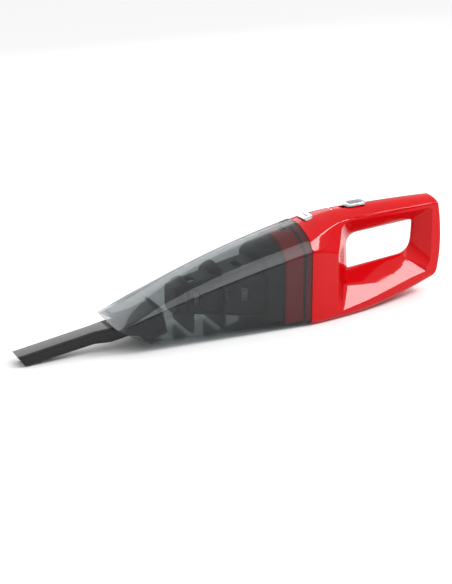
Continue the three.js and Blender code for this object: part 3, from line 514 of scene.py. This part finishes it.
def cover_seam(lift):
    """All that lies above the S-shaped seam between the cover and the lower shells."""
    a, b, c, d = (Vector(p) for p in SEAM_CURVE)
    outline = [(-40, a.y + lift), (a.x, a.y + lift)]
    for k in range(1, SEAM_STEPS + 1):
        t = k / SEAM_STEPS
        p = (1 - t) ** 3 * a + 3 * t * (1 - t) ** 2 * b + 3 * t * t * (1 - t) * c + t**3 * d
        outline.append((p.x, p.y + lift))
    outline += [(BODY_LENGTH + 20, 115 + lift), (BODY_LENGTH + 20, 220), (-40, 220)]
    return side_solid("above_seam", outline)


BODY_STEP = 3.0
BODY_FORM_LENGTH = 195


def body_form(name, inset, start):
    rows = range(int(BODY_FORM_LENGTH / BODY_STEP))
    stations = [start] + [k * BODY_STEP for k in rows if k * BODY_STEP > start]
    return loft(name, [section_ring(x, inset) for x in stations])


skin = boolean(body_form("skin", 0, 0.0), front_of_rear(0), "INTERSECT")
skin = boolean(skin, opening_solid(0))
inside = boolean(body_form("inside", HOUSING_WALL, -6.0), front_of_rear(HOUSING_WALL), "INTERSECT")
inside = boolean(inside, opening_solid(HOUSING_WALL * 1.25))
skin = boolean(skin, inside)

SEAM_GAP = 0.4
cover = boolean(copy_of(skin, "top_cover_shell"), cover_seam(SEAM_GAP / 2), "INTERSECT")
lower = boolean(skin, cover_seam(-SEAM_GAP / 2))


def surface_height(x):
    return section(x)[6]


def surface_tilt(x):
    return math.atan((surface_height(x + 5) - surface_height(x - 5)) / 10)


def rounded_plate(name, length, width, layers, radius, steps=8):
    """A stack of rounded outlines: each layer is (height, inset)."""
    rings = []
    for height, inset in layers:
        ring = []
        r = max(0.3, radius - inset)
        for cx, cy, start in ((1, -1, -90), (1, 1, 0), (-1, 1, 90), (-1, -1, 180)):
            for k in range(steps + 1):
                a = math.radians(start + 90 * k / steps)
                x = cx * (length / 2 - inset - r) + r * math.cos(a)
                y = cy * (width / 2 - inset - r) + r * math.sin(a)
                ring.append(Vector((x, y, height)))
        rings.append(ring)
    return loft(name, rings)


def on_top(obj, x, lift=0.0):
    obj.data.transform(
        Matrix.Translation((x, 0, surface_height(x) + lift)) @ Matrix.Rotation(-surface_tilt(x), 4, "Y")
    )
    return obj


BUTTON_X = 14
BUTTON_LENGTH = 12
BUTTON_WIDTH = 20
BUTTON_TRAVEL = 2.5
BUTTON_LIFT = 0.2
SWITCH_X = 76
SWITCH_LENGTH = 26
SWITCH_WIDTH = 15
SWITCH_TRAVEL = 6
SLOT_WIDTH = 10
CONTROL_CLEARANCE = 0.8
LIGHT_X = 45
LIGHT_OFFSET = 3.2
LIGHT_HOLE = 2.6
HOLE_LAYERS = [(-12, 0), (12, 0)]

# The button drifts forwards as it goes down, and the switch slides, so each hole is longer than its piece.
BUTTON_DRIFT = BUTTON_TRAVEL * math.tan(surface_tilt(BUTTON_X))
button_hole = rounded_plate(
    "button_hole", BUTTON_LENGTH + CONTROL_CLEARANCE + BUTTON_DRIFT, BUTTON_WIDTH + CONTROL_CLEARANCE,
    HOLE_LAYERS, 4,
)
button_hole.data.transform(Matrix.Translation((-BUTTON_DRIFT / 2, 0, 0)))
button_hole = on_top(button_hole, BUTTON_X)
slot_hole = rounded_plate(
    "slot_hole", SWITCH_LENGTH + CONTROL_CLEARANCE + SWITCH_TRAVEL, SLOT_WIDTH + CONTROL_CLEARANCE,
    HOLE_LAYERS, 4,
)
slot_hole.data.transform(Matrix.Translation((-SWITCH_TRAVEL / 2, 0, 0)))
cover = boolean(cover, button_hole)
cover = boolean(cover, on_top(slot_hole, SWITCH_X))
for side in (-LIGHT_OFFSET, LIGHT_OFFSET):
    light_hole = rounded_plate("light_hole", LIGHT_HOLE, LIGHT_HOLE, [(-8, 0), (8, 0)], LIGHT_HOLE / 2)
    light_hole.data.transform(Matrix.Translation((0, side, 0)))
    cover = boolean(cover, on_top(light_hole, LIGHT_X))

# Diagonal grooves between the ribs on the front wall of the hand opening.
RIBS = 14
RIB_PITCH = 4.2
RIB_START = 29
RIB_X = OPENING[0][0] - 0.81 * spread(27) + 0.25
RIB_OFFSET = 27.2
RIB_TURN = 51
RIB_LEAN = 34


def rib_cutter(side):
    """The grooves of one side, as one tool."""
    verts, faces = [], []
    for i in range(RIBS):
        cut = side_solid("slot", [(-14, -1.0), (14, -1.0), (14, 1.0), (-14, 1.0)], 1.6)
        cut.data.transform(
            Matrix.Translation((RIB_X, side * RIB_OFFSET, RIB_START + i * RIB_PITCH))
            @ Matrix.Rotation(math.radians(-side * RIB_TURN), 4, "Z")
            @ Matrix.Rotation(math.radians(-RIB_LEAN), 4, "Y")
        )
        base = len(verts)
        verts += [v.co.copy() for v in cut.data.vertices]
        faces += [tuple(base + k for k in p.vertices) for p in cut.data.polygons]
        bpy.data.objects.remove(cut)
    return mesh_object("ribs", verts, faces)


SHELL_GAP = 0.24
for name, side in (("left", -1), ("right", 1)):
    y0, y1 = sorted((side * SHELL_GAP / 2, side * 70))
    half = block("half", -10, 220, y0, y1, -20, 170)
    shell = boolean(copy_of(lower, f"{name}_shell"), half, "INTERSECT")
    shell = boolean(shell, rib_cutter(side))
    finish_piece(shell, "body", f"{name}_housing", RED, bevel=0.6)
bpy.data.objects.remove(lower)
finish_piece(cover, "body", "top_cover", RED, bevel=0.6)


# ---- dust container ----

def behind_mouth(recess):
    """All that lies behind the slanted mouth, moved inwards by a recess."""
    lip = Vector((-CONTAINER_LENGTH, MOUTH_LIP_HEIGHT))
    along = Vector((MOUTH_REACH, -MOUTH_LIP_HEIGHT)).normalized()
    inward = Vector((-along.y, along.x)) * recess
    front, rear = lip + inward - along * 150, lip + inward + along * 350
    return side_solid("behind_mouth", [tuple(front), tuple(rear), (400, 400), (front.x, 400)])


CONTAINER_STEPS = 40


def container_stations(end):
    shares = [k / CONTAINER_STEPS for k in range(CONTAINER_STEPS + 1)]
    return [-1.018 * CONTAINER_LENGTH * (1 - t) + end * k / CONTAINER_STEPS for k, t in enumerate(shares)]


def container_form(name, inset, end):
    return loft(name, [section_ring(x, inset, 1.6) for x in container_stations(end)])


container = boolean(container_form("container_shell", 0, -0.3), behind_mouth(0), "INTERSECT")
hollow_rings = [section_ring(x, CONTAINER_WALL, 1.6) for x in container_stations(-0.01)]
hollow_rings.append([Vector((6, p.y, p.z)) for p in hollow_rings[-1]])
container = boolean(container, loft("container_hollow", hollow_rings))
finish_piece(container, "container", "dust_container", SMOKE, angle=25, bevel=0.3)


# ---- controls ----

button = rounded_plate(
    "button_cap", BUTTON_LENGTH, BUTTON_WIDTH,
    [(-3.5, 0), (1.0, 0), (1.5, 0.15), (1.85, 0.55), (2.0, 1.2)], 3.6,
)
finish_piece(on_top(button, BUTTON_X, BUTTON_LIFT), "button", "release_button", SILVER)
switch = rounded_plate(
    "switch_cap", SWITCH_LENGTH, SWITCH_WIDTH,
    [(-8, 4.6), (0.69, 4.6), (0.7, 0), (2.2, 0.1), (2.9, 0.5), (3.25, 1.1), (3.4, 1.9)], 5,
)
finish_piece(on_top(switch, SWITCH_X), "switch", "power_switch", SILVER)


def ribbed_pad(name, length, width, base, radius, ribs):
    """A grip pad whose top carries low ribs across it."""
    pad = rounded_plate(name, length, width, [(base, 0), (base + 0.25, 0)], radius)
    pitch = (length - 2) / ribs
    layers = [(base + 0.1, 0), (base + 0.5, 0), (base + 0.68, 0.14)]
    for i in range(ribs):
        x = -length / 2 + 1 + pitch * (i + 0.5)
        rib = rounded_plate("rib", pitch * 0.6, width - 2.2, layers, 0.3, 3)
        rib.data.transform(Matrix.Translation((x, 0, 0)))
        pad = boolean(pad, rib, "UNION")
    return pad


switch_grip = ribbed_pad("switch_grip", 17, 10, base=3.7, radius=2.4, ribs=9)
finish_piece(on_top(switch_grip, SWITCH_X), "switch", "switch_pad", GREY)
button_band = ribbed_pad("button_band", 3.6, 14, base=2.3, radius=1.4, ribs=2)
finish_piece(on_top(button_band, BUTTON_X, BUTTON_LIFT), "button", "button_grip", GREY)


# ---- crevice tool ----

TOOL_REACH = CONTAINER_LENGTH + 107
TOOL_BEND = (-16 - CONTAINER_LENGTH, 10.6)
TOOL_SLOPE = 0.182
TIP_BACKSET = 8.5
TOOL_WIDTH = 24
TOOL_HEIGHT = 13
TOOL_WALL = 1.5
TOOL_EDGE = 2.6
PLUG_END = 33 - CONTAINER_LENGTH
PLUG_FLOOR = 4.3
PLUG_RECESS = 3.5


def tool_centre(x):
    return TOOL_BEND[1] + TOOL_SLOPE * (x - TOOL_BEND[0])


def plug_floor(x):
    return PLUG_FLOOR + TOOL_SLOPE * (x - PLUG_END)


def channel_ring(x, low, high, half_width, radius, steps=6):
    """A rounded rectangle across the tool."""
    ring = []
    for cy, cz, start in (
        (half_width - radius, low + radius, -90), (half_width - radius, high - radius, 0),
        (radius - half_width, high - radius, 90), (radius - half_width, low + radius, 180),
    ):
        for k in range(steps + 1):
            a = math.radians(start + 90 * k / steps)
            ring.append(Vector((x, cy + radius * math.cos(a), cz + radius * math.sin(a))))
    return ring


def tool_form(name, inset):
    """The tool from its tip to the end of its plug, drawn in by an inset."""
    half_width, half_height = TOOL_WIDTH / 2, TOOL_HEIGHT / 2
    keys = [
        (-TOOL_REACH - 2, -half_height, half_height),
        (TIP_BACKSET - TOOL_REACH, -half_height, half_height),
        (-CONTAINER_LENGTH - 20, -half_height - 0.8, half_height + 0.6),
    ]
    rows = [(x, half_width, tool_centre(x) + low, tool_centre(x) + high) for x, low, high in keys]
    end_floor = plug_floor(PLUG_END)
    rows += [
        (-CONTAINER_LENGTH - 2, half_width + 3, 3.1, 19.6),
        (17 - CONTAINER_LENGTH, half_width + 5, 8, 20.6),
        (PLUG_END, half_width + 7, end_floor + 2, end_floor + PLUG_HEIGHT - 2),
    ]
    stations = []
    for i, (first, second) in enumerate(zip(rows[:-1], rows[1:])):
        steps = 2 if i < 2 else 6
        stations += [[lerp(a, b, k / steps) for a, b in zip(first, second)] for k in range(steps)]
    stations.append(rows[-1])
    edge = max(0.8, TOOL_EDGE - inset)
    return loft(name, [
        channel_ring(x, low + inset, high - inset, width - inset, edge) for x, width, low, high in stations
    ])


tool = tool_form("crevice_nozzle", 0)
plug = loft("plug", [
    channel_ring(x, plug_floor(x), plug_floor(x) + PLUG_HEIGHT, PLUG_WIDTH / 2, 3)
    for x in (-CONTAINER_LENGTH - 4, PLUG_END)
])
tool = boolean(tool, boolean(plug, behind_mouth(PLUG_RECESS), "INTERSECT"), "UNION")
tip_top = Vector((-TOOL_REACH, tool_centre(-TOOL_REACH) + TOOL_HEIGHT / 2))
tip_low = Vector((TIP_BACKSET - TOOL_REACH, tool_centre(TIP_BACKSET - TOOL_REACH) - TOOL_HEIGHT / 2))
above, below = 2 * tip_top - tip_low, 2 * tip_low - tip_top
behind_tip = side_solid("tip", [tuple(above), tuple(below), (400, -100), (400, 200), (above.x, 200)])
tool = boolean(tool, behind_tip, "INTERSECT")
tool = boolean(tool, tool_form("tool_bore", TOOL_WALL))
finish_piece(tool, "tool", "crevice_tool", BLACK_GLOSS, bevel=0.3)


# ---- stage ----

FLOOR_REACH = 6.0
FLOOR_DROP = 0.0005


def plain_floor():
    r = FLOOR_REACH
    floor = mesh_object("floor", [(-r, -r, 0), (r, -r, 0), (r, r, 0), (-r, r, 0)], [(0, 1, 2, 3)])
    floor.location.z = -FLOOR_DROP
    material, _, _, shader = new_material("pale_floor")
    shader.inputs["Base Color"].default_value = (0.93, 0.93, 0.93, 1)
    shader.inputs["Roughness"].default_value = 0.9
    floor.data.materials.append(material)


def area_light(name, location, target, size_x, size_y, power):
    data = bpy.data.lights.new(name, "AREA")
    data.shape = "RECTANGLE"
    data.size = size_x
    data.size_y = size_y
    data.energy = power
    light = bpy.data.objects.new(name, data)
    light.location = location
    light.rotation_euler = (Vector(target) - Vector(location)).to_track_quat("-Z", "Y").to_euler()
    bpy.context.scene.collection.objects.link(light)


def studio():
    """A pale dome that darkens towards the horizon, two softboxes and a panel behind."""
    world = bpy.data.worlds.new("studio")
    world.use_nodes = True
    nodes, links = world.node_tree.nodes, world.node_tree.links
    where = nodes.new("ShaderNodeTexCoord")
    split = nodes.new("ShaderNodeSeparateXYZ")
    ramp = nodes.new("ShaderNodeValToRGB")
    ramp.color_ramp.elements[0].position = 0.12
    ramp.color_ramp.elements[0].color = (0.30, 0.30, 0.31, 1)
    ramp.color_ramp.elements[1].position = 0.55
    ramp.color_ramp.elements[1].color = (1, 1, 1, 1)
    links.new(where.outputs["Generated"], split.inputs["Vector"])
    links.new(split.outputs["Z"], ramp.inputs["Fac"])
    links.new(ramp.outputs["Color"], nodes["Background"].inputs["Color"])
    nodes["Background"].inputs["Strength"].default_value = 1.08
    bpy.context.scene.world = world
    area_light("softbox_handle", (0.85, -0.54, 0.94), (0.17, 0, 0.03), 0.34, 0.27, 7)
    area_light("softbox_long", (0.06, -0.69, 1.15), (0, 0, 0.05), 0.95, 0.26, 2.4)
    area_light("back_panel", (0.05, 1.34, 0.72), (0, 0, 0.05), 1.7, 0.7, 5.5)
    bpy.context.scene.view_settings.view_transform = "Standard"


# The photograph's view, in the design axes.
CAMERA_TURN = 24
CAMERA_LIFT = 18.5
CAMERA_DISTANCE = 1.8
CAMERA_TARGET = Vector((-0.09, 0, 0.05))
CAMERA_LENS = 99.5
CAMERA_SHIFT = (0.0086, -0.018)


def photo_camera():
    """The camera looks at the near side, turned towards the nose and lifted above the floor."""
    turn, lift = math.radians(CAMERA_TURN), math.radians(CAMERA_LIFT)
    back = Vector((-math.sin(turn) * math.cos(lift), -math.cos(turn) * math.cos(lift), math.sin(lift)))
    right = Vector((math.cos(turn), -math.sin(turn), 0))
    up = back.cross(right)
    pose = Matrix((right, up, back)).transposed().to_4x4()
    pose.translation = CAMERA_TARGET + back * CAMERA_DISTANCE
    data = bpy.data.cameras.new("camera")
    data.sensor_width = 36
    data.lens = CAMERA_LENS
    data.shift_x, data.shift_y = CAMERA_SHIFT
    data.clip_end = 50
    camera = bpy.data.objects.new("camera", data)
    camera.matrix_world = DESIGN @ pose
    bpy.context.scene.collection.objects.link(camera)
    bpy.context.scene.camera = camera


plain_floor()
studio()
photo_camera()
bpy.context.view_layer.update()
